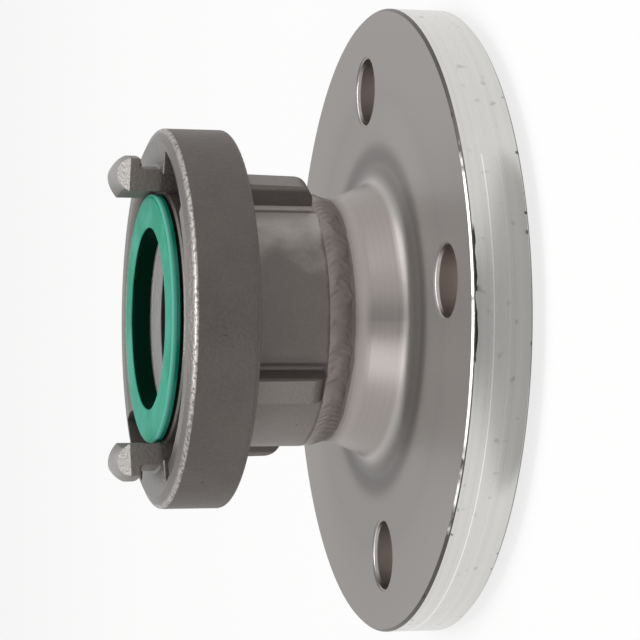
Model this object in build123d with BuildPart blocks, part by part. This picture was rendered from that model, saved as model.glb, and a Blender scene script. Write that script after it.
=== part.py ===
from build123d import *
import math
import os

# Flange adapter with a claw coupling: a cast coupling head butt-welded to a weld-neck pipe flange.
# Millimetres. The origin is the centre of the flange's raised sealing face. +Z runs along the bore,
# towards the claws, so the part stands on its flange.

# Flange
flange_radius = 82.5
raised_face_radius = 51
raised_face_height = 3
flange_plate = 15
flange_front_chamfer = 0.7
flange_back_chamfer = 0.6
bolt_circle_radius = 62.5
bolt_hole_radius = 9
bolt_hole_count = 4
bolt_hole_start = 9.2
bolt_hole_chamfer = 0.5
pipe_bore_radius = 27.25
hub_wall = 4.95
hub_cone_length = 11.5
hub_straight = 3.5
hub_base_step = 5.3
hub_base_round = 6
hub_blend_round = 8

# Butt weld between the hub and the neck
root_face = 1.5
root_gap = 2.0
hub_bevel_depth = 2.0
neck_bevel_depth = 2.0
bead_overlap = 0.8
bead_crown = 0.4

# Neck and its spanner ribs
neck_wall = 6.15
neck_length = 23.2
rib_count = 4
rib_start_angle = 63.3
rib_foot_width = 6.8
rib_top_width = 6.4
rib_rise_at_collar = 6.8
rib_rise_at_end = 6.3
rib_setback = 1.1
rib_end_round = 4.2
rib_foot_round = 0.9

# Mouth tube with the seal's groove, and the land that the bore narrows to behind it
tube_wall = 6.05
tube_drop = 1.6
tube_edge_chamfer = 0.5
land_step = 3.25
land_length = 3.1
land_chamfer_depth = 0.8
land_chamfer_width = 0.4
bore_step_length = 2.0
groove_wall = 3.9
groove_undercut = 0.8
groove_lip_height = 1.15
groove_foot_height = 0.9
groove_edge_chamfer = 0.3

# Seal, with a flange that lies on the mouth and a foot that snaps into the groove
seal_overhang = 0.4
seal_setback = 0.95
seal_flange_height = 3.0
seal_gap_height = 0.8
seal_gap_depth = 1.1
seal_edge_round = 0.9
seal_inner_chamfer = 0.3
seal_fit = 0.1

# Two hooked claws that stand beside the mouth tube, and the mating tube's clearance between them
claw_count = 2
claw_angle = 32.9
claw_start = 76.4
claw_clearance = 0.3
claw_stem = 5.9
claw_hook_reach = 2.7
claw_throat = 5.2
claw_hook_side = 2.6
claw_crown = 2.8
claw_bevel_angle = 38
claw_foot_round = 0.8
claw_throat_round = 0.8
claw_hook_round = 0.5
claw_corner_round = 0.4

# Channel that the mating hooks turn in, and the lip over it, ramped to draw the two halves together
hook_side_clearance = 3.3
hook_end_clearance = 0.7
lip_clearance = 1.0
lip_tight_gap = 0.2
lip_rise = 1.0
lip_front_round = 2.5
ramp_relief = 0.2
entry_clearance_angle = 1.0
stop_gap_angle = 7.5

# Bridge over the channel behind each claw, which stops the mating claw, and its reach past the claw's ends
bridge_angle = 4.4
bridge_edge_round = 0.5

# Collar round the channel
collar_wall = 3.9
collar_height = 17.6
collar_front_drop = 1.4
collar_front_round = 1.0
collar_back_round = 1.2
collar_neck_round = 1.5

# How far a form reaches into the one that carries it, so that the two fuse
root = 1.0

# Radii worked out from the sizes above, from the bore outwards
hub_radius = pipe_bore_radius + hub_wall
hub_base_radius = hub_radius + hub_base_step
neck_radius = pipe_bore_radius + neck_wall
tube_radius = pipe_bore_radius + tube_wall
land_radius = pipe_bore_radius - land_step
groove_mouth_radius = tube_radius - groove_wall
groove_foot_radius = groove_mouth_radius + groove_undercut
seal_inner_radius = land_radius - seal_overhang
seal_outer_radius = tube_radius - seal_setback
claw_inner_radius = tube_radius + claw_clearance
claw_stem_radius = claw_inner_radius + claw_stem
claw_hook_radius = claw_stem_radius + claw_hook_reach
claw_middle_radius = (claw_inner_radius + claw_hook_radius) / 2
lip_inner_radius = claw_stem_radius + lip_clearance
channel_outer_radius = claw_hook_radius + hook_side_clearance
collar_radius = channel_outer_radius + collar_wall

# Heights worked out from the sizes above, from the sealing face upwards
flange_front = raised_face_height + flange_plate
hub_cone_top = flange_front + hub_cone_length
hub_shoulder = hub_cone_top + hub_straight
hub_end = hub_shoulder + hub_bevel_depth
neck_end = hub_end + root_gap
neck_shoulder = neck_end + neck_bevel_depth
rib_end = neck_shoulder + rib_setback
collar_back = neck_end + neck_length
collar_front = collar_back + collar_height
collar_edge = collar_front - collar_front_drop
hook_bottom = collar_front + claw_throat
claw_shoulder = hook_bottom + claw_hook_side
claw_top = claw_shoulder + claw_crown
channel_floor = collar_front - (claw_top - collar_front) - hook_end_clearance
lip_thick_end = claw_throat - lip_tight_gap
lip_thin_end = lip_thick_end - lip_rise
rim = collar_front - tube_drop
groove_lip = rim - groove_lip_height
groove_seat = groove_lip - groove_foot_height
land_end = groove_seat - land_length
bore_step = land_end - bore_step_length
seal_gap_top = rim + seal_gap_height
seal_front = rim + seal_flange_height

# Angles worked out from the sizes above
side_angle = 360 / claw_count
claw_end = claw_start + claw_angle
bridge_start = claw_start - bridge_angle
entry_start = bridge_start - claw_angle - entry_clearance_angle
lip_start = claw_end + bridge_angle + stop_gap_angle
lip_angle = entry_start + side_angle - lip_start

os.makedirs("parts", exist_ok=True)


# The unit vectors that point outwards and round the circle at a turn about the axis
def directions_at(degrees):
    turn = math.radians(degrees)
    outwards = Vector(math.cos(turn), math.sin(turn), 0)
    round_circle = Vector(-math.sin(turn), math.cos(turn), 0)
    return outwards, round_circle


# A plane through the axis at a turn about it: its x runs outwards and its y along the bore
def section_at(degrees):
    outwards, round_circle = directions_at(degrees)
    return Plane(origin=(0, 0, 0), x_dir=outwards, z_dir=-round_circle)


# A plane whose x runs outwards at a turn about the axis, tilted so that it climbs round the circle
def ramp_at(degrees, height, climb_degrees):
    outwards, round_circle = directions_at(degrees)
    climb = math.radians(climb_degrees)
    upwards = Vector(0, 0, math.cos(climb)) - round_circle * math.sin(climb)
    return Plane(origin=(0, 0, height), x_dir=outwards, z_dir=upwards)


# The corner of a section that lies at a radius and a height
def corner_of(section, radius, height):
    return section.vertices().sort_by_distance((radius, height))[0]


# Whether an edge lies on the neck where the side or the end of a rib meets it
def is_rib_foot(edge):
    middle = edge @ 0.5
    beside_rib = False
    for rib in range(rib_count):
        outwards, round_circle = directions_at(rib_start_angle + rib * 360 / rib_count)
        within_foot = abs(round_circle.dot(middle)) < rib_foot_width / 2 + root and outwards.dot(middle) > 0
        beside_rib = beside_rib or within_foot
    on_neck = abs(math.hypot(middle.X, middle.Y) - neck_radius) < 0.05
    return on_neck and beside_rib and rib_end - 0.1 < middle.Z < collar_back


# Whether an edge is an upright corner of a claw
def is_claw_corner(edge):
    return (edge @ 0.5).Z > collar_front + root and abs(edge.tangent_at(0.5).Z) > 0.99


# Whether an edge is the front corner of a bridge's end
def is_bridge_corner(edge):
    bridge_depth = channel_outer_radius - claw_stem_radius + root / 2
    return abs(edge.length - bridge_depth) < 0.1 and abs((edge @ 0.5).Z - collar_front) < 0.01


# Weld-neck flange, turned in one piece and drilled
with BuildPart() as weld_neck_flange:
    with BuildSketch(Plane.XZ) as flange_section:
        with BuildLine():
            Polyline(
                (hub_base_radius, flange_front),
                (hub_radius, hub_cone_top),
                (hub_radius, hub_shoulder),
                (pipe_bore_radius + root_face, hub_end),
                (pipe_bore_radius, hub_end),
                (pipe_bore_radius, 0),
                (raised_face_radius, 0),
                (raised_face_radius, raised_face_height),
                (flange_radius - flange_back_chamfer, raised_face_height),
                (flange_radius, raised_face_height + flange_back_chamfer),
                (flange_radius, flange_front - flange_front_chamfer),
                (flange_radius - flange_front_chamfer, flange_front),
                close=True,
            )
        make_face()
        fillet(corner_of(flange_section, hub_base_radius, flange_front), hub_base_round)
        fillet(corner_of(flange_section, hub_radius, hub_cone_top), hub_blend_round)
    revolve(axis=Axis.Z)
    with PolarLocations(bolt_circle_radius, bolt_hole_count, start_angle=bolt_hole_start):
        Hole(bolt_hole_radius)
    front_edges = weld_neck_flange.faces().filter_by(Axis.Z).sort_by(Axis.Z)[-2].edges()
    hole_edges = front_edges.filter_by(lambda edge: edge.radius < bolt_hole_radius + 0.01)
    chamfer(hole_edges, bolt_hole_chamfer)

# Butt weld, from the root gap out to a bead that bridges the step from the hub to the neck
with BuildPart() as weld_seam:
    with BuildSketch(Plane.XZ):
        with BuildLine():
            groove_outline = Polyline(
                (hub_radius, hub_shoulder - bead_overlap),
                (hub_radius, hub_shoulder),
                (pipe_bore_radius + root_face, hub_end),
                (pipe_bore_radius, hub_end),
                (pipe_bore_radius, neck_end),
                (pipe_bore_radius + root_face, neck_end),
                (neck_radius, neck_shoulder),
            )
            SagittaArc(groove_outline @ 1, groove_outline @ 0, bead_crown)
        make_face()
    revolve(axis=Axis.Z)

# Coupling casting: collar, channel, mouth, neck and bore as one turned form, then what varies round it
with BuildPart() as storz_coupling:
    with BuildSketch(Plane.XZ) as body_section:
        with BuildLine():
            Polyline(
                (pipe_bore_radius, neck_end),
                (pipe_bore_radius + root_face, neck_end),
                (neck_radius, neck_shoulder),
                (neck_radius, collar_back),
                (collar_radius, collar_back),
                (collar_radius, collar_edge),
                (channel_outer_radius + root, collar_front),
                (channel_outer_radius, collar_front),
                (channel_outer_radius, channel_floor),
                (tube_radius, channel_floor),
                (tube_radius, rim),
                (groove_mouth_radius, rim),
                (groove_mouth_radius, groove_lip),
                (groove_foot_radius, groove_lip),
                (groove_foot_radius, groove_seat),
                (land_radius + land_chamfer_width, groove_seat),
                (land_radius, groove_seat - land_chamfer_depth),
                (land_radius, land_end),
                (pipe_bore_radius, bore_step),
                close=True,
            )
        make_face()
        fillet(corner_of(body_section, collar_radius, collar_edge), collar_front_round)
        fillet(corner_of(body_section, collar_radius, collar_back), collar_back_round)
        fillet(corner_of(body_section, neck_radius, collar_back), collar_neck_round)
        chamfer(corner_of(body_section, tube_radius, rim), tube_edge_chamfer)
        chamfer(corner_of(body_section, groove_mouth_radius, rim), groove_edge_chamfer)
    revolve(axis=Axis.Z)

    # Spanner ribs: drafted bars that run down the neck from the back of the collar
    for rib in range(rib_count):
        outwards, round_circle = directions_at(rib_start_angle + rib * 360 / rib_count)
        for height, rise in (rib_end, rib_rise_at_end), (collar_back + root, rib_rise_at_collar):
            with BuildSketch(Plane(origin=(0, 0, height), x_dir=outwards, z_dir=(0, 0, 1))):
                with BuildLine():
                    Polyline(
                        (neck_radius - root, -rib_foot_width / 2),
                        (neck_radius + rise, -rib_top_width / 2),
                        (neck_radius + rise, rib_top_width / 2),
                        (neck_radius - root, rib_foot_width / 2),
                        close=True,
                    )
                make_face()
        loft()
    rib_ends = storz_coupling.faces().filter_by_position(Axis.Z, rib_end - 0.1, rib_end + 0.1)
    outer_edges = [face.edges().sort_by_distance((0, 0, rib_end))[-1] for face in rib_ends]
    fillet(outer_edges, rib_end_round)
    fillet(storz_coupling.edges().filter_by(is_rib_foot), rib_foot_round)

    for side in range(claw_count):
        turned = side * side_angle

        # Lip between the stop gap and the entry slot, then the ramp cut into its underside
        with BuildSketch(section_at(turned + lip_start)) as lip_section:
            with BuildLine():
                Polyline(
                    (channel_outer_radius + root, collar_front),
                    (lip_inner_radius, collar_front),
                    (lip_inner_radius, collar_front - lip_thick_end),
                    (channel_outer_radius + root, collar_front - lip_thick_end),
                    close=True,
                )
            make_face()
            fillet(corner_of(lip_section, lip_inner_radius, collar_front), lip_front_round)
        revolve(axis=Axis.Z, revolution_arc=lip_angle)
        ramp_reach = channel_outer_radius * math.sin(math.radians(lip_angle / 2))
        ramp_climb = math.degrees(math.atan(lip_rise / (2 * ramp_reach)))
        ramp_height = collar_front - (lip_thick_end + lip_thin_end) / 2
        with BuildSketch(ramp_at(turned + lip_start + lip_angle / 2, ramp_height, ramp_climb)):
            with BuildLine():
                ramp_angle = lip_angle + stop_gap_angle / 2
                outer_arc = CenterArc((0, 0), channel_outer_radius + ramp_relief, -ramp_angle / 2, ramp_angle)
                inner_arc = CenterArc((0, 0), lip_inner_radius - root, -ramp_angle / 2, ramp_angle)
                Line(outer_arc @ 0, inner_arc @ 0)
                Line(outer_arc @ 1, inner_arc @ 1)
            make_face()
        extrude(amount=-1.5 * lip_rise, mode=Mode.SUBTRACT)

        # Bridge from the collar's wall in to the claw, level with the collar's front
        with BuildSketch(section_at(turned + bridge_start)):
            with BuildLine():
                Polyline(
                    (claw_stem_radius - root / 2, channel_floor - root),
                    (claw_stem_radius - root / 2, collar_front),
                    (channel_outer_radius + root, collar_front),
                    (channel_outer_radius + root, channel_floor - root),
                    close=True,
                )
            make_face()
        revolve(axis=Axis.Z, revolution_arc=claw_angle + 2 * bridge_angle)

        # Claw: the stem stands on the channel's floor beside the mouth tube and ends in a rounded hook
        with BuildSketch(section_at(turned + claw_start)) as claw_section:
            with BuildLine():
                claw_outline = Polyline(
                    (claw_inner_radius, claw_shoulder),
                    (claw_inner_radius, rim),
                    (tube_radius - root, rim),
                    (tube_radius - root, channel_floor - root),
                    (claw_stem_radius + root, channel_floor - root),
                    (claw_stem_radius + root, collar_front),
                    (claw_stem_radius, collar_front),
                    (claw_stem_radius, hook_bottom),
                    (claw_hook_radius, hook_bottom),
                    (claw_hook_radius, claw_shoulder),
                )
                ThreePointArc(claw_outline @ 1, (claw_middle_radius, claw_top), claw_outline @ 0)
            make_face()
            fillet(corner_of(claw_section, claw_stem_radius, collar_front), claw_foot_round)
            fillet(corner_of(claw_section, claw_stem_radius, hook_bottom), claw_throat_round)
            fillet(corner_of(claw_section, claw_hook_radius, hook_bottom), claw_hook_round)
        revolve(axis=Axis.Z, revolution_arc=claw_angle)

        # Flat bevels that climb from the claw's two ends to its crest
        bevel_length = 2.4 * claw_crown / math.sin(math.radians(claw_bevel_angle))
        for end_angle, climb in (claw_start, claw_bevel_angle), (claw_end, -claw_bevel_angle):
            with BuildSketch(ramp_at(turned + end_angle, claw_shoulder, climb)):
                with Locations((claw_middle_radius, 0)):
                    Rectangle(2 * (claw_hook_radius - claw_inner_radius), bevel_length)
            extrude(amount=2 * claw_crown, mode=Mode.SUBTRACT)
    fillet(storz_coupling.edges().filter_by(is_claw_corner), claw_corner_round)
    fillet(storz_coupling.edges().filter_by(is_bridge_corner), bridge_edge_round)

# Rubber seal, moulded in one piece
with BuildPart() as coupling_seal:
    with BuildSketch(Plane.XZ) as seal_section:
        with BuildLine():
            Polyline(
                (seal_inner_radius, groove_seat),
                (seal_inner_radius, seal_front),
                (seal_outer_radius, seal_front),
                (seal_outer_radius, seal_gap_top),
                (seal_outer_radius - seal_gap_depth, seal_gap_top),
                (seal_outer_radius - seal_gap_depth, rim),
                (groove_mouth_radius - seal_fit, rim),
                (groove_mouth_radius - seal_fit, groove_lip - seal_fit),
                (groove_foot_radius - seal_fit, groove_lip - seal_fit),
                (groove_foot_radius - seal_fit, groove_seat),
                close=True,
            )
        make_face()
        fillet(corner_of(seal_section, seal_outer_radius, seal_front), seal_edge_round)
        chamfer(corner_of(seal_section, seal_inner_radius, seal_front), seal_inner_chamfer)
    revolve(axis=Axis.Z)

weld_neck_flange.part.label = "weld_neck_flange"
export_step(weld_neck_flange.part, "parts/weld_neck_flange.step")
weld_seam.part.label = "weld_seam"
export_step(weld_seam.part, "parts/weld_seam.step")
storz_coupling.part.label = "storz_coupling"
export_step(storz_coupling.part, "parts/storz_coupling.step")
coupling_seal.part.label = "coupling_seal"
export_step(coupling_seal.part, "parts/coupling_seal.step")
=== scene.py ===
import bpy
import math
from mathutils import Matrix, Vector


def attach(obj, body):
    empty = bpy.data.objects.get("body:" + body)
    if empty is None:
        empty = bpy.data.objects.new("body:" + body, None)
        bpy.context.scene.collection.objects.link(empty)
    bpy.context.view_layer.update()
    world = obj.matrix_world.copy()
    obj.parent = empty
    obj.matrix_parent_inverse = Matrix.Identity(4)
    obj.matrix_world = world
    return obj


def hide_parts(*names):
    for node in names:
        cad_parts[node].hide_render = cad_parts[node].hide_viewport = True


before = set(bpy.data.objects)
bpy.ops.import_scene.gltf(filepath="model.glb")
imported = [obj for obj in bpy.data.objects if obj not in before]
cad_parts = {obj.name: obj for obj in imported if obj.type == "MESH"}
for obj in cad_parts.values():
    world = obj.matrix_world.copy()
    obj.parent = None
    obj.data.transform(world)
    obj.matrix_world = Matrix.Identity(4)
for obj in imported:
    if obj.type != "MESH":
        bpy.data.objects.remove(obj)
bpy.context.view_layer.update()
scene = bpy.context.scene


# Camera
# A long lens that looks at the part's side, from 15 degrees above the flange's plane.
# The bore lies across the picture with the claws to the left, so the camera is turned on its side.
camera_right = Vector((0.25711648, 0.00801915, -0.96634715))
camera_up = Vector((-0.0083138, 0.99994692, 0.00608592))
camera_back = Vector((0.96634466, 0.00646923, 0.2571695))
camera_place = Vector((0.59085, 0.00389, 0.19001))
lens = bpy.data.cameras.new("camera")
lens.sensor_width = 36
lens.lens = 129.68
camera = bpy.data.objects.new("camera", lens)
scene.collection.objects.link(camera)
turn = Matrix((camera_right, camera_up, camera_back)).transposed()
camera.matrix_world = Matrix.Translation(camera_place) @ turn.to_4x4()
scene.camera = camera


# Studio
# A white floor under the part and a white room round it, with three soft boxes above. The camera and
# reflections see the room at full white, and the light that it gives is dimmer and a little warm.
room_warmth = (1, 0.985, 0.965)
room_dimmed = 0.42
floor_width = 8.0
floor_drop = 0.0002
floor_grey = (0.9, 0.9, 0.9)
floor_white_share = 0.8
lamps_aim = Vector((0, 0, 0.04))
white = (1, 1, 1)


def feed(tree, node, inputs):
    """Feeds a node's inputs with readings, other nodes' outputs, colours or plain values."""
    for name, value in inputs.items():
        socket = node.inputs[name]
        if isinstance(value, Reading):
            tree.links.new(value.output, socket)
        elif isinstance(value, bpy.types.NodeSocket):
            tree.links.new(value, socket)
        elif socket.type == "RGBA":
            socket.default_value = (*value, 1)
        else:
            socket.default_value = value


def add_node(tree, kind, inputs=None, **settings):
    """A new node with these settings and inputs."""
    node = tree.nodes.new(kind)
    for name, value in settings.items():
        setattr(node, name, value)
    feed(tree, node, inputs or {})
    return node


def worked_out(tree, operation, *values):
    """The reading that a new Math node gives for these values."""
    node = add_node(tree, "ShaderNodeMath", dict(enumerate(values)), operation=operation)
    return Reading(tree, node.outputs[0])


class Reading:
    """A number read at each point of a surface, or a mask from 0 to 1. Sums with it add Math nodes."""

    def __init__(self, tree, output):
        self.tree = tree
        self.output = output

    def into(self, operation, *others):
        """What an operation makes of this reading, or of this one and others."""
        return worked_out(self.tree, operation, self, *others)

    def larger(self, other):
        """The larger of two readings, which joins two masks."""
        return self.into("MAXIMUM", other)

    def smaller(self, other):
        """The smaller of two readings."""
        return self.into("MINIMUM", other)

    def __add__(self, other):
        return self.into("ADD", other)

    def __sub__(self, other):
        return self.into("SUBTRACT", other)

    def __rsub__(self, other):
        return worked_out(self.tree, "SUBTRACT", other, self)

    def __mul__(self, other):
        return self.into("MULTIPLY", other)

    def __truediv__(self, other):
        return self.into("DIVIDE", other)

    def __abs__(self):
        return self.into("ABSOLUTE")

    def __gt__(self, other):
        return self.into("GREATER_THAN", other)

    def __lt__(self, other):
        return self.into("LESS_THAN", other)


def seen_by(tree, *rays):
    """A mask that is 1 for these kinds of ray."""
    path = add_node(tree, "ShaderNodeLightPath")
    seen = Reading(tree, path.outputs[rays[0]])
    for ray in rays[1:]:
        seen = seen.larger(Reading(tree, path.outputs[ray]))
    return seen


def flat_sheet(name, width, near_height, far_height):
    """A flat mesh of one face, which may be higher at its far side than at its near side."""
    sheet = bpy.data.meshes.new(name)
    sheet.from_pydata(
        [(-width / 2, -near_height / 2, 0), (width / 2, -far_height / 2, 0),
         (width / 2, far_height / 2, 0), (-width / 2, near_height / 2, 0)],
        [], [(0, 1, 2, 3)])
    return sheet


scene.view_settings.view_transform = "Standard"
room = bpy.data.worlds.new("white_room")
room.use_nodes = True
room_tree = room.node_tree
room_tree.nodes.clear()
room_light = add_node(room_tree, "ShaderNodeBackground", {"Color": room_warmth, "Strength": room_dimmed})
room_seen = add_node(room_tree, "ShaderNodeBackground", {"Color": white, "Strength": 1.0})
room_mix = add_node(room_tree, "ShaderNodeMixShader", {
    0: seen_by(room_tree, "Is Camera Ray", "Is Glossy Ray", "Is Transmission Ray"),
    1: room_light.outputs[0],
    2: room_seen.outputs[0],
})
add_node(room_tree, "ShaderNodeOutputWorld", {"Surface": room_mix.outputs[0]})
scene.world = room

# The floor is matt under the white that the camera sees, and keeps the part's soft shadow
floor_mesh = flat_sheet("floor", floor_width, floor_width, floor_width)
floor_mesh.transform(Matrix.Translation((0, 0, -floor_drop)))
floor_paint = bpy.data.materials.new("floor_paint")
floor_paint.use_nodes = True
floor_tree = floor_paint.node_tree
floor_tree.nodes.clear()
floor_matt = add_node(floor_tree, "ShaderNodeBsdfDiffuse", {"Color": floor_grey})
floor_white = add_node(floor_tree, "ShaderNodeEmission", {"Color": white})
floor_mix = add_node(floor_tree, "ShaderNodeMixShader", {
    0: seen_by(floor_tree, "Is Camera Ray", "Is Glossy Ray") * floor_white_share,
    1: floor_matt.outputs[0],
    2: floor_white.outputs[0],
})
add_node(floor_tree, "ShaderNodeOutputMaterial", {"Surface": floor_mix.outputs[0]})
floor_mesh.materials.append(floor_paint)
floor = bpy.data.objects.new("floor", floor_mesh)
scene.collection.objects.link(floor)

soft_boxes = (
    # name, place, width, height, watts
    ("box_claws", (0.06, 0.02, 1.3), 0.6, 0.6, 7.5),
    ("box_upper", (0.20, 0.75, 1.00), 0.9, 0.9, 3.0),
    ("box_lower", (0.64, -0.50, 0.72), 0.55, 0.75, 1.8),
)
for box_name, place, width, height, watts in soft_boxes:
    lamp = bpy.data.lights.new(box_name, "AREA")
    lamp.shape = "RECTANGLE"
    lamp.size = width
    lamp.size_y = height
    lamp.energy = watts
    box = bpy.data.objects.new(box_name, lamp)
    box.location = place
    box.rotation_euler = (lamps_aim - Vector(place)).to_track_quat("-Z", "Y").to_euler()
    scene.collection.objects.link(box)

# Only reflections see these cards, which give the metal the darker tones of a studio
grey_cards = (
    # name, place, what it faces, width, height at its near and far side, grey
    ("card_front", (0.99, 0.0, 0.72), (0, 0, 0.03), 0.5, 0.9, 0.9, 0.3),
    ("card_low", (0.125, 0.0, 0.0001), (0.125, 0.0, 0.4), 0.09, 0.035, 0.12, 0.5),
    ("card_hub", (0.205, 0.0, 0.0002), (0.205, 0.0, 0.4), 0.11, 0.06, 0.09, 0.04),
)
for card_name, place, faced, width, near_height, far_height, grey in grey_cards:
    card_mesh = flat_sheet(card_name, width, near_height, far_height)
    facing = (Vector(faced) - Vector(place)).to_track_quat("Z", "Y").to_matrix().to_4x4()
    card_mesh.transform(Matrix.Translation(place) @ facing)
    card_paint = bpy.data.materials.new(card_name)
    card_paint.use_nodes = True
    card_tree = card_paint.node_tree
    card_tree.nodes.clear()
    card_glow = add_node(card_tree, "ShaderNodeEmission", {"Color": (grey, grey, grey)})
    add_node(card_tree, "ShaderNodeOutputMaterial", {"Surface": card_glow.outputs[0]})
    card_mesh.materials.append(card_paint)
    card = bpy.data.objects.new(card_name, card_mesh)
    card.visible_camera = False
    card.visible_shadow = False
    card.visible_diffuse = False
    card.visible_transmission = False
    scene.collection.objects.link(card)


# Weld-neck flange
# Forged stainless steel, turned on a lathe all over and drilled for four bolts. Its plate and hub
# are satin, and its rim keeps the bright lines of the turning tool.
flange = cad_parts["weld_neck_flange"]
bolt_circle_radius = 0.0625
first_bolt_angle = 9.2
hole_edge_radius = 0.00915
hole_mouth_height = 0.0167
rim_front_edge = 0.0174
rim_back_edge = 0.0033
chamfer_height = 0.01728
chamfer_radius = 0.08178
chamfer_outer_radius = 0.08222
chamfer_raggedness = 0.05
tool_line_height = 0.0127
tool_line_half_width = 0.00016
tool_line_end = 0.04
dark_line_height = 0.01725
dark_line_raggedness = 0.0028
dark_line_drop = 0.0010
plate_to_hub = (0.0181, 0.0205)
toe_raggedness = 0.001
spot_scale = 330
ragged_scale = 110
smudge_share = 0.5
root_shade_share = 0.4
root_highlight_share = 0.4
toe_share = 0.7
face_dullness = 0.82
mouth_dullness = 0.8
hub_end_dullness = 0.42
rim_smoothness = 0.08
marks_strength = 0.2
marks_depth = 0.00002
marks_drift_scale = 9
streak_scale = 0.22
millimetres_in_metre = 1000


def coordinates(tree, vector):
    """A place's or direction's three coordinates, each as a reading."""
    split = add_node(tree, "ShaderNodeSeparateXYZ", {0: vector})
    return [Reading(tree, output) for output in split.outputs]


def around_axis(tree):
    """Radius from the bore's axis and position on the part, read at each point of a piece."""
    place = add_node(tree, "ShaderNodeTexCoord").outputs["Object"]
    flat = add_node(tree, "ShaderNodeVectorMath", {0: place, 1: (1, 1, 0)}, operation="MULTIPLY")
    length = add_node(tree, "ShaderNodeVectorMath", {0: flat.outputs[0]}, operation="LENGTH")
    return Reading(tree, length.outputs["Value"]), place


def turned_to(tree, place, angle):
    """The two coordinates across the bore, without their signs, once this angle is turned to an axis."""
    turned_place = add_node(tree, "ShaderNodeVectorRotate", {"Vector": place, "Angle": math.radians(-angle)},
                            rotation_type="Z_AXIS")
    x, y = coordinates(tree, turned_place.outputs[0])[:2]
    return abs(x), abs(y)


def noise(tree, place, scale, detail):
    """A reading in soft random patches, which are smaller for a higher scale."""
    node = add_node(tree, "ShaderNodeTexNoise", {"Vector": place, "Scale": scale, "Detail": detail})
    return Reading(tree, node.outputs["Fac"])


def rising(reading, low, high):
    """A mask that climbs from 0 to 1 while a reading goes from low to high."""
    node = add_node(reading.tree, "ShaderNodeMapRange", {"Value": reading, "From Min": low, "From Max": high})
    return Reading(reading.tree, node.outputs["Result"])


def falling(reading, low, high):
    """A mask that drops from 1 to 0 while a reading goes from low to high."""
    return 1.0 - rising(reading, low, high)


def mixed(share, first, second):
    """A colour between two, which are plain or mixed before."""
    node = add_node(share.tree, "ShaderNodeMix", {"Factor": share, "A": first, "B": second}, data_type="RGBA")
    return node.outputs["Result"]


def coated(base, *coats):
    """A colour with coats over it, the last one on top. Each coat is a mask and a colour."""
    for mask, color in coats:
        base = mixed(mask, base, color)
    return base


def bumped(tree, height, strength, distance):
    """The normal of a surface with these marks in it."""
    return add_node(tree, "ShaderNodeBump", {
        "Height": height, "Strength": strength, "Distance": distance}).outputs["Normal"]


def new_group(name, kind, inputs, outputs):
    """A node group with named sockets of the kinds given, and its own input and output nodes."""
    group = bpy.data.node_groups.new(name, kind)
    for in_out, sockets in ("INPUT", inputs), ("OUTPUT", outputs):
        for socket_name, value_kind in sockets.items():
            group.interface.new_socket(socket_name, in_out=in_out, socket_type="NodeSocket" + value_kind)
    return group, group.nodes.new("NodeGroupInput"), group.nodes.new("NodeGroupOutput")


def new_finish(name):
    """A material with its node tree and its shader."""
    finish = bpy.data.materials.new(name)
    finish.use_nodes = True
    return finish, finish.node_tree, finish.node_tree.nodes["Principled BSDF"]


# Turning marks are rings round the bore, so their noise reads radius and height, and drifts slowly round it
turned_marks, marks_in, marks_out = new_group(
    "turned_marks", "ShaderNodeTree",
    {"Lines per Millimetre": "Float"}, {"Height": "Float", "Streaks": "Float"})
marks_radius, marks_place = around_axis(turned_marks)
marks_height = coordinates(turned_marks, marks_place)[2]
marks_ring = add_node(turned_marks, "ShaderNodeCombineXYZ", {"X": marks_radius, "Y": marks_height})
lines_per_metre = Reading(turned_marks, marks_in.outputs["Lines per Millimetre"]) * millimetres_in_metre
marks_scaled = add_node(turned_marks, "ShaderNodeVectorMath", {
    0: marks_ring.outputs[0], "Scale": lines_per_metre}, operation="SCALE")
marks_drift = add_node(turned_marks, "ShaderNodeVectorMath", {
    0: marks_place, "Scale": marks_drift_scale}, operation="SCALE")
marks_sum = add_node(turned_marks, "ShaderNodeVectorMath", {
    0: marks_scaled.outputs[0], 1: marks_drift.outputs[0]}, operation="ADD").outputs[0]
feed(turned_marks, marks_out, {
    "Height": noise(turned_marks, marks_sum, 1, 3),
    "Streaks": noise(turned_marks, marks_sum, streak_scale, 2),
})

flange_steel, steel_tree, steel = new_finish("flange_steel")
steel_radius, steel_place = around_axis(steel_tree)
steel_x, steel_y, steel_height = coordinates(steel_tree, steel_place)
steel_facing = add_node(steel_tree, "ShaderNodeTexCoord").outputs["Normal"]
steel_facing_x = coordinates(steel_tree, steel_facing)[0]
steel_marks = add_node(steel_tree, "ShaderNodeGroup", {"Lines per Millimetre": 3.0}, node_tree=turned_marks)
streaks = Reading(steel_tree, steel_marks.outputs["Streaks"])
small_spots = noise(steel_tree, steel_place, spot_scale, 1)
ragged_noise = noise(steel_tree, steel_place, ragged_scale, 3)

# The rim is turned bright. Each hole's mouth carries a painted highlight on the side that faces +X, and its
# drilled wall is dull.
rim = rising(steel_radius, 0.0822, 0.0824)
hole_x, hole_y = turned_to(steel_tree, steel_place, first_bolt_angle)
hole_out = hole_x.larger(hole_y) - bolt_circle_radius
hole_along = hole_x.smaller(hole_y)
hole_gap = (hole_out * hole_out + hole_along * hole_along).into("SQRT")
in_hole = hole_gap < hole_edge_radius
painted_highlight_side = rising(steel_facing_x, 0.45, 0.8)
hole_mouth_highlight = in_hole * painted_highlight_side * (steel_height > hole_mouth_height)
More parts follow.
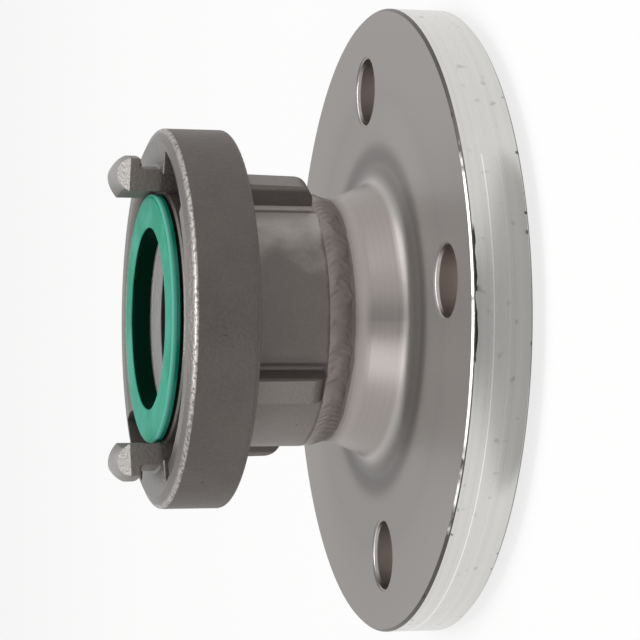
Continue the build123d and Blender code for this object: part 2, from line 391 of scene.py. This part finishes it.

# The rim's front chamfer carries a painted highlight on its +X side and a dark painted reflection elsewhere,
# and black nicks lie along both of the rim's edges
edge_gap = abs(steel_height - rim_front_edge).smaller(abs(steel_height - rim_back_edge))
near_edge = falling(edge_gap, 0.0004, 0.0009)
nicks = rising(small_spots, 0.69, 0.72) * near_edge * rising(steel_radius, 0.0816, 0.0817)
chamfer = (steel_height > chamfer_height) * (steel_radius > chamfer_radius)
painted_glint_side = rising(steel_x + ragged_noise * chamfer_raggedness, 0.096, 0.101)
chamfer_highlight = (steel_radius < chamfer_outer_radius) * painted_glint_side
smudges = rising(small_spots, 0.68, 0.8) * smudge_share

# A ragged black line of painted dark reflection lies along the edge behind the chamfer, on the rim's +X side
dark_line_reach = rising(steel_y, -0.0095, -0.0085) * falling(steel_y, 0.0215, 0.0235)
dark_line_side = (steel_x > 0.0) * rim
dark_line_depth = steel_height + (ragged_noise * dark_line_raggedness - dark_line_drop) > dark_line_height
dark_reflection_line = dark_line_reach * dark_line_side * dark_line_depth
tool_line = (abs(steel_height - tool_line_height) < tool_line_half_width) * (steel_y < tool_line_end)

# The plate is painted paler near the hub, against the shade that the hub and the head throw there, and a
# painted dark band lies in the hub's root as shade. A painted highlight ring next to the root stands for a
# reflection, and the hub's end is painted pale against its dark reflection, up to the dark toe of the weld.
hub = rising(steel_height, *plate_to_hub)
painted_light_near_hub = rising(steel_radius, 0.0455, 0.0485) * falling(steel_radius, 0.05, 0.06)
hub_root_shade = rising(steel_radius, 0.0415, 0.043) * falling(steel_radius, 0.0445, 0.0475)
root_highlight_ring = rising(steel_height, 0.0183, 0.019) * falling(steel_height, 0.0198, 0.021)
hub_end_painted_light = rising(steel_height, 0.0278, 0.0298)
weld_toe = rising(steel_height + ragged_noise * toe_raggedness, 0.0324, 0.0327)
plate_color = coated(
    mixed(streaks, (0.236, 0.221, 0.211), (0.264, 0.247, 0.236)),
    (painted_light_near_hub, mixed(streaks, (0.3, 0.281, 0.268), (0.335, 0.314, 0.3))),
    (hub_root_shade * root_shade_share, (0.11, 0.102, 0.097)))
hub_color = coated(
    mixed(streaks, (0.286, 0.26, 0.248), (0.348, 0.317, 0.303)),
    (hub_end_painted_light, (0.45, 0.41, 0.394)),
    (root_highlight_ring * root_highlight_share, (0.72, 0.7, 0.68)),
    (weld_toe * toe_share, (0.12, 0.105, 0.097)))
rim_color = coated(
    mixed(streaks, (0.56, 0.553, 0.531), (0.742, 0.735, 0.712)),
    (smudges, (0.3, 0.29, 0.28)),
    (tool_line, (0.86, 0.85, 0.83)))
# The chamfer's colour: a dark painted reflection with a painted highlight on its +X side
chamfer_painted_color = mixed(chamfer_highlight, (0.09, 0.082, 0.078), (0.92, 0.91, 0.9))
steel_color = coated(
    plate_color,
    (hub, hub_color),
    (rim, rim_color),
    (chamfer, chamfer_painted_color),
    (in_hole, (0.44, 0.39, 0.365)),
    (hole_mouth_highlight, (0.95, 0.94, 0.93)),
    (nicks.larger(dark_reflection_line), (0.05, 0.045, 0.04)))

# The plate's face is dulled by handling, so it is less of a mirror than the hub, the rim and the holes
plate_face = falling(steel_height, *plate_to_hub) * (1.0 - chamfer.larger(rim.larger(in_hole)))
dulled = (plate_face * face_dullness).larger(hole_mouth_highlight * mouth_dullness).larger(hub_end_painted_light * hub_end_dullness)
feed(steel_tree, steel, {
    "Base Color": steel_color,
    "Metallic": 1.0 - dulled,
    "Roughness": rising(streaks, -3.0, 7.0) - rim * rim_smoothness,
    "Specular IOR Level": 0.1,
    "Normal": bumped(steel_tree, steel_marks.outputs["Height"], marks_strength, marks_depth),
})
flange.data.materials.clear()
flange.data.materials.append(flange_steel)


# Coupling head
# One stainless investment casting: collar, lip, claws, neck and ribs. It is blasted after casting,
# which leaves a fine matt grain and a brownish grey colour.
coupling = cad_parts["storz_coupling"]
passage_radius = 0.0277
land_radius = 0.0246
neck_reach = 0.0345
collar_back = 0.0601
rib_reach = 0.043
first_rib_angle = 63.3
rib_foot_half_width = 0.0042
claw_outer_radius = 0.0427
collar_front = (0.0725, 0.0735)
claw_crown = (0.0795, 0.0805)
high_side_raggedness = 0.03
low_side_raggedness = 0.008
toe_line_raggedness = 0.003
toe_line_share = 0.5
rib_foot_shade_share = 0.6
pit_share = 0.7
pit_scale = 380
mottle_scale = 90
mottle_share = 0.6
grain_share = 0.4
blasted_metallic = 0.68
rubbed_metallic_gain = 0.3
paler_metallic_loss = 0.38
land_metallic_loss = 0.66
blasted_roughness = 0.54
rubbed_smoothness = 0.14

cast_grain, grain_in, grain_out = new_group(
    "cast_grain", "ShaderNodeTree",
    {"Grains per Millimetre": "Float"}, {"Height": "Float", "Mottle": "Float"})
grain_place = add_node(cast_grain, "ShaderNodeTexCoord").outputs["Object"]
grains_per_metre = Reading(cast_grain, grain_in.outputs["Grains per Millimetre"]) * millimetres_in_metre
feed(cast_grain, grain_out, {
    "Height": noise(cast_grain, grain_place, grains_per_metre, 2),
    "Mottle": noise(cast_grain, grain_place, mottle_scale, 4),
})

cast_steel, cast_tree, cast = new_finish("cast_steel")
cast_radius, cast_place = around_axis(cast_tree)
cast_y, cast_height = coordinates(cast_tree, cast_place)[1:]
cast_facing = add_node(cast_tree, "ShaderNodeTexCoord").outputs["Normal"]
cast_facing_z = coordinates(cast_tree, cast_facing)[2]
cast_marks = add_node(cast_tree, "ShaderNodeGroup", {"Grains per Millimetre": 1.1}, node_tree=cast_grain)
mottle = Reading(cast_tree, cast_marks.outputs["Mottle"])
grains = Reading(cast_tree, cast_marks.outputs["Height"])

# The faces towards the other half are rubbed and are also painted lighter as painted light from above, the
# claws' tops most;
# the collar's front edge carries a painted highlight in grains, and the mouth's land is machined above the
# inside, which is painted dark as shade
worn_and_lit = rising(cast_facing_z, 0.35, 0.85) * rising(cast_height, *collar_front)
claw_top = worn_and_lit * rising(cast_height, *claw_crown)
collar_edge = rising(cast_radius, 0.0480, 0.0487) * rising(cast_facing_z, 0.1, 0.3)
front_edge_highlight = collar_edge * (rising(cast_height, *collar_front) * rising(grains, 0.3, 0.6))
inside_shade = cast_radius < passage_radius
land = cast_radius < land_radius

# The neck is painted with light on its +Y side and more faintly on its -Y side, the ribs' outer faces are
# rubbed, a painted highlight lies on the collar's back edge, painted shade lies along the ribs' feet, and a
# dark line lies along the weld's toe
below_collar = cast_height < collar_back
on_neck = (cast_radius < neck_reach) * below_collar
high_side_painted_light = on_neck * rising(cast_y + mottle * high_side_raggedness, 0.026, 0.042)
low_side_painted_light = on_neck * falling(cast_y + mottle * low_side_raggedness, -0.026, -0.002)
back_edge_highlight = rising(cast_radius, 0.0481, 0.0488) * falling(cast_height, 0.0606, 0.0612)
rib_face = rising(cast_radius, 0.0384, 0.0392) * below_collar * (cast_radius < rib_reach)
rib_x, rib_y = turned_to(cast_tree, cast_place, first_rib_angle)
rib_foot_gap = abs(rib_x.smaller(rib_y) - rib_foot_half_width)
rib_foot_shade = on_neck * rib_foot_shade_share * falling(rib_foot_gap, 0.0003, 0.0008)
toe_dark_line = on_neck * toe_line_share * falling(cast_height + mottle * toe_line_raggedness, 0.0407, 0.0414)
claw_side = (cast_radius < claw_outer_radius) * rising(cast_height, 0.0772, 0.0782)
paler = on_neck.larger(claw_side)
pits = rising(noise(cast_tree, cast_place, pit_scale, 3), 0.76, 0.8) * pit_share

tone = mottle * mottle_share + grains * grain_share
cast_color = coated(
    mixed(tone, (0.085, 0.073, 0.068), (0.165, 0.146, 0.137)),
    (paler, mixed(tone, (0.16, 0.14, 0.131), (0.24, 0.214, 0.2))),
    (low_side_painted_light, mixed(tone, (0.235, 0.21, 0.197), (0.335, 0.303, 0.286))),
    (high_side_painted_light, mixed(tone, (0.41, 0.375, 0.355), (0.58, 0.537, 0.51))),
    (back_edge_highlight.larger(rib_face), mixed(tone, (0.21, 0.188, 0.177), (0.29, 0.262, 0.247))),
    (worn_and_lit, mixed(tone, (0.12, 0.11, 0.103), (0.19, 0.176, 0.165))),
    (claw_top, mixed(tone, (0.19, 0.18, 0.17), (0.25, 0.238, 0.226))),
    (front_edge_highlight, (0.4, 0.385, 0.368)),
    (rib_foot_shade.larger(toe_dark_line).larger(pits), (0.035, 0.028, 0.025)),
    (inside_shade, (0.11, 0.088, 0.083)),
    (land, (0.92, 0.9, 0.89)))
metallic_loss = (paler * paler_metallic_loss).larger(land * land_metallic_loss)
feed(cast_tree, cast, {
    "Base Color": cast_color,
    "Metallic": worn_and_lit * rubbed_metallic_gain + blasted_metallic - metallic_loss,
    "Roughness": blasted_roughness - worn_and_lit * rubbed_smoothness,
    "Normal": bumped(cast_tree, cast_marks.outputs["Height"], strength=0.7, distance=0.0002),
})
coupling.data.materials.clear()
coupling.data.materials.append(cast_steel)


# Weld between the hub and the neck
# A hand-laid butt weld of the same stainless steel. Each drop froze over the last one, which leaves
# crescents across the bead, and its two edges wander a little.
bead_steps = 900
bead_across = 26
hub_toe_height = 0.0325
neck_toe_height = 0.0394
hub_toe_radius = 0.0320
neck_toe_radius = 0.0332
root_radius = 0.02725
root_heights = (0.037, 0.035)
bead_rise = 0.0004
outside_radius = 0.029
slow_scale = 130
edge_scale = 220
arc_depth = 3.7
phase_drift = 0.3
drop_steepness = 6.0
crest_round = 0.3
drop_middle = 0.4
drop_unevenness = 4.0
drop_least = 0.08
fine_middle = 0.65
fine_unevenness = 5.0
fine_least = 0.12

section = []
for k in range(bead_across + 1):
    share = k / bead_across
    section.append((
        hub_toe_radius + (neck_toe_radius - hub_toe_radius) * share + bead_rise * 4 * share * (1 - share),
        hub_toe_height + (neck_toe_height - hub_toe_height) * share))
for root_height in root_heights:
    section.append((root_radius, root_height))
ring = len(section)
bead_points = []
bead_faces = []
for step in range(bead_steps):
    angle = 2 * math.pi * step / bead_steps
    here = step * ring
    there = (step + 1) % bead_steps * ring
    for k, (radius, height) in enumerate(section):
        after = (k + 1) % ring
        bead_points.append((radius * math.cos(angle), radius * math.sin(angle), height))
        bead_faces.append((here + k, there + k, there + after, here + after))
bead_mesh = bpy.data.meshes.new("weld_bead")
bead_mesh.from_pydata(bead_points, [], bead_faces)
bead_mesh.polygons.foreach_set("use_smooth", [True] * len(bead_faces))
weld_bead = bpy.data.objects.new("weld_bead", bead_mesh)
scene.collection.objects.link(weld_bead)

weld_metal, weld_tree, weld = new_finish("weld_metal")
weld_marks = add_node(weld_tree, "ShaderNodeGroup", {"Grains per Millimetre": 3.0}, node_tree=cast_grain)
weld_mottle = Reading(weld_tree, weld_marks.outputs["Mottle"])
feed(weld_tree, weld, {
    "Base Color": mixed(weld_mottle, (0.235, 0.203, 0.188), (0.35, 0.31, 0.29)),
    "Metallic": 0.5,
    "Roughness": 0.45,
    "Normal": bumped(weld_tree, weld_marks.outputs["Height"], strength=0.2, distance=0.00005),
})

# The tree lifts the bead's outside into crescents with fine ripples on them, and moves its edges
ripple_sizes = {
    "Ripples": 27.0,
    "Ripple Height": 0.0005,
    "Fine Ripples": 108.0,
    "Fine Height": 0.00008,
    "Crescent Bend": 0.6,
    "Edge Wander": 0.0018,
    "Hub Toe": hub_toe_height,
    "Bead Width": neck_toe_height - hub_toe_height,
    "Seed": 7.0,
}
ripples, ripples_in, ripples_out = new_group(
    "weld_ripples", "GeometryNodeTree",
    {"Geometry": "Geometry", **dict.fromkeys(ripple_sizes, "Float"), "Material": "Material"},
    {"Geometry": "Geometry"})
ripple_count, ripple_height, fine_count, fine_height, bend_size, edge_wander, hub_toe, bead_width, seed = (
    Reading(ripples, ripples_in.outputs[size_name]) for size_name in ripple_sizes)


def seeded_noise(scale, detail):
    """A random drift along the bead, both ways from 0, which the seed fixes."""
    node = add_node(
        ripples, "ShaderNodeTexNoise",
        {"Vector": bead_place, "W": seed, "Scale": scale, "Detail": detail}, noise_dimensions="4D")
    return Reading(ripples, node.outputs["Fac"]) - 0.5


bead_place = add_node(ripples, "GeometryNodeInputPosition").outputs[0]
bead_x, bead_y, bead_height = coordinates(ripples, bead_place)
turns = bead_y.into("ARCTAN2", bead_x) / (2 * math.pi)
off_middle = (bead_height - hub_toe) / bead_width - 0.5
off_squared = off_middle * off_middle
slow = seeded_noise(slow_scale, 2)
wander = seeded_noise(edge_scale, 3) * (edge_wander * 2.0)

arc = (1.0 - off_squared * arc_depth).larger(0.0)
bend = (1.0 - arc.into("SQRT")) * bend_size
phase = turns * ripple_count + (bend + slow * phase_drift)
drop = phase.into("FRACT")
drop_shape = (1.0 - drop) * (drop * drop_steepness).into("SMOOTH_MIN", 1.0, crest_round)
drop_share = (slow * drop_unevenness + drop_middle).larger(drop_least)
fine_phase = phase * (fine_count / ripple_count) * (2 * math.pi)
fine_share = (fine_middle - slow * fine_unevenness).larger(fine_least)
fine_lift = fine_phase.into("SINE") * fine_share * fine_height
fade = (1.0 - off_squared * 4.0).larger(0.0)
lift = fade * (fine_lift + drop_shape * ripple_height * drop_share)

on_outside = (bead_x * bead_x + bead_y * bead_y).into("SQRT") > outside_radius
flat_place = add_node(ripples, "ShaderNodeVectorMath", {0: bead_place, 1: (1, 1, 0)}, operation="MULTIPLY")
outwards = add_node(ripples, "ShaderNodeVectorMath", {0: flat_place.outputs[0]}, operation="NORMALIZE")
raised = add_node(ripples, "ShaderNodeVectorMath", {
    0: outwards.outputs[0], "Scale": lift * on_outside}, operation="SCALE")
shifted = add_node(ripples, "ShaderNodeCombineXYZ", {"Z": wander * on_outside})
moved = add_node(ripples, "ShaderNodeVectorMath", {
    0: raised.outputs[0], 1: shifted.outputs[0]}, operation="ADD")
set_place = add_node(ripples, "GeometryNodeSetPosition", {
    "Geometry": ripples_in.outputs["Geometry"], "Offset": moved.outputs[0]})
realize = add_node(ripples, "GeometryNodeRealizeInstances", {0: set_place.outputs[0]})
paint = add_node(ripples, "GeometryNodeSetMaterial", {
    "Geometry": realize.outputs[0], "Material": ripples_in.outputs["Material"]})
feed(ripples, ripples_out, {"Geometry": paint.outputs[0]})

modifier = weld_bead.modifiers.new("ripples", "NODES")
modifier.node_group = ripples
socket_ids = {item.name: item.identifier for item in ripples.interface.items_tree if item.in_out == "INPUT"}
for size_name, size in ripple_sizes.items():
    modifier[socket_ids[size_name]] = size
modifier[socket_ids["Material"]] = weld_metal
bpy.context.view_layer.update()
evaluated = weld_bead.evaluated_get(bpy.context.evaluated_depsgraph_get())
finished_bead = bpy.data.meshes.new_from_object(evaluated)
weld_bead.modifiers.remove(modifier)
weld_bead.data = finished_bead
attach(weld_bead, "root")
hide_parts("weld_seam")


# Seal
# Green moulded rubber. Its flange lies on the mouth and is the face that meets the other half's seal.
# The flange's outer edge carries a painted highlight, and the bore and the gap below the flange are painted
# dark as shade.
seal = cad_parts["coupling_seal"]
seal_bore_radius = 0.02368
under_flange_height = 0.07702
film_scale = 70
seal_rubber, seal_tree, rubber = new_finish("seal_rubber")
seal_radius, seal_place = around_axis(seal_tree)
seal_height = coordinates(seal_tree, seal_place)[2]
film = rising(noise(seal_tree, seal_place, film_scale, 4), 0.4, 0.6)
edge_highlight = rising(seal_radius, 0.0317, 0.0321) * rising(seal_height, 0.0777, 0.0781)
bore_and_gap_shade = (seal_radius < seal_bore_radius).larger(seal_height < under_flange_height)
seal_color = coated(
    mixed(film, (0.0, 0.25, 0.15), (0.035, 0.325, 0.23)),
    (edge_highlight, (0.15, 0.53, 0.42)),
    (bore_and_gap_shade, (0.0005, 0.024, 0.013)))
feed(seal_tree, rubber, {"Base Color": seal_color, "Roughness": 0.34, "Specular IOR Level": 0.015})
seal.data.materials.clear()
seal.data.materials.append(seal_rubber)
